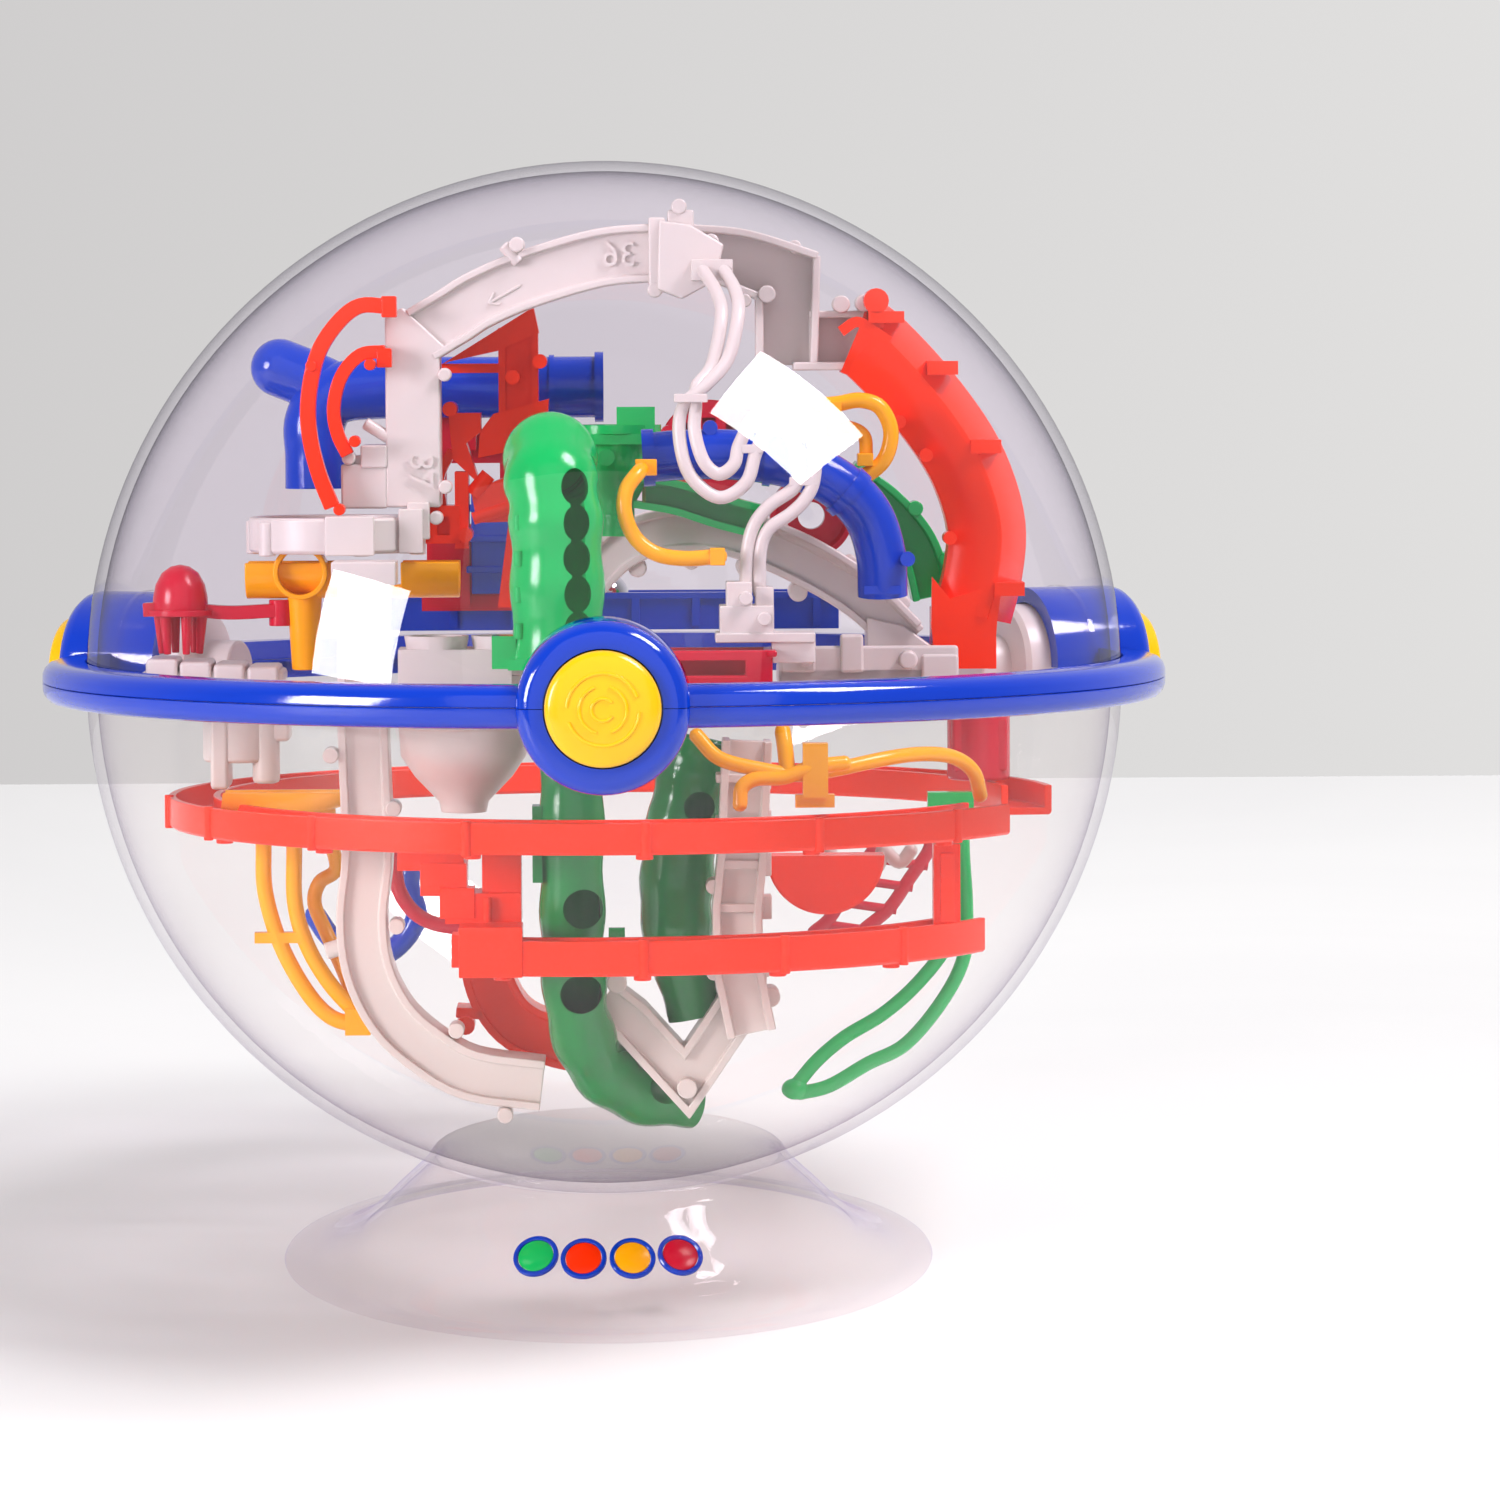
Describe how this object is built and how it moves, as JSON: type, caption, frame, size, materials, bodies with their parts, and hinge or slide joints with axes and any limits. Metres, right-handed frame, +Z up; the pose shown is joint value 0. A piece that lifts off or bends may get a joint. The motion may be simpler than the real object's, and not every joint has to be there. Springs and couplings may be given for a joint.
{
  "type": "3d maze ball puzzle",
  "caption": "Clear globe holding a maze of coloured ball tracks, with a blue grip ring, yellow boss caps and a flared clear stand.",
  "frame": {"origin": "middle of the whole object's outline seen from above, on the surface it stands on; the stand's axis is 4.7 mm behind it, because the front boss reaches further out than the ring's back", "axes": "+Z up through the stand and the centre of the globe, -Y towards the front boss, +X to the right of it; the globe leans back 7 degrees about X"},
  "size_m": [0.2222, 0.2252, 0.2153],
  "materials": {
    "blue": "semi-gloss moulded",
    "cap_yellow": "glossy moulded",
    "clear_shell": "clear moulded styrene, polished",
    "clear_stand": "clear vacuum-formed sheet",
    "crimson": "semi-gloss moulded",
    "green": "semi-gloss moulded",
    "orange": "semi-gloss moulded",
    "ring_blue": "glossy moulded",
    "steel": "polished",
    "white": "satin moulded",
    "yellow": "semi-gloss moulded"
  },
  "bodies": {
    "stand": {"stand": "clear_stand"},
    "globe": {"blue_ball_lane": "blue", "blue_hook": "blue", "blue_tube_back": "blue", "blue_tube_front": "blue", "cap_front": "cap_yellow", "cap_left": "cap_yellow", "cap_right": "cap_yellow", "crimson_block": "crimson", "crimson_cage": "crimson", "crimson_discs": "crimson", "crimson_frame": "crimson", "crimson_ladder": "crimson", "crimson_trough": "crimson", "crimson_wire": "crimson", "green_chute": "green", "green_column": "green", "green_funnel": "green", "green_tube": "green", "green_wing": "green", "green_wire_loop": "green", "grip_ring_lower": "ring_blue", "grip_ring_upper": "ring_blue", "hub_front": "white", "hub_left": "white", "hub_right": "white", "lower_shell": "clear_shell", "orange_arc_track": "orange", "orange_bracket": "orange", "orange_curl": "orange", "orange_hoop_rails": "orange", "orange_lower_arc": "orange", "orange_ring_track": "orange", "orange_scoop": "orange", "orange_stair_track": "orange", "upper_shell": "clear_shell", "white_arch_track": "white", "white_arm_track": "white", "white_clamp": "white", "white_curved_post": "white", "white_deck": "white", "white_hook": "white", "white_hopper": "white", "white_platform": "white", "white_rack": "white", "white_ramp": "white", "white_right_post": "white", "white_tray": "white", "white_vee_chute": "white", "white_wire_rails": "white", "yellow_half_pipe": "yellow", "yellow_rods": "yellow", "yellow_side_loop": "yellow", "yellow_wire_loop": "yellow", "yellow_wires": "yellow"},
    "ball": {"steel_ball": "steel"}
  },
  "joints": [
    {"name": "lift_off", "type": "slide", "parent": "stand", "child": "globe", "axis": [0, 0, 1], "range_m": [0, 0.12]},
    {"name": "ball_roll", "type": "slide", "parent": "globe", "child": "ball", "axis": [1, 0, 0], "range_m": [-0.037, 0.037]}
  ]
}
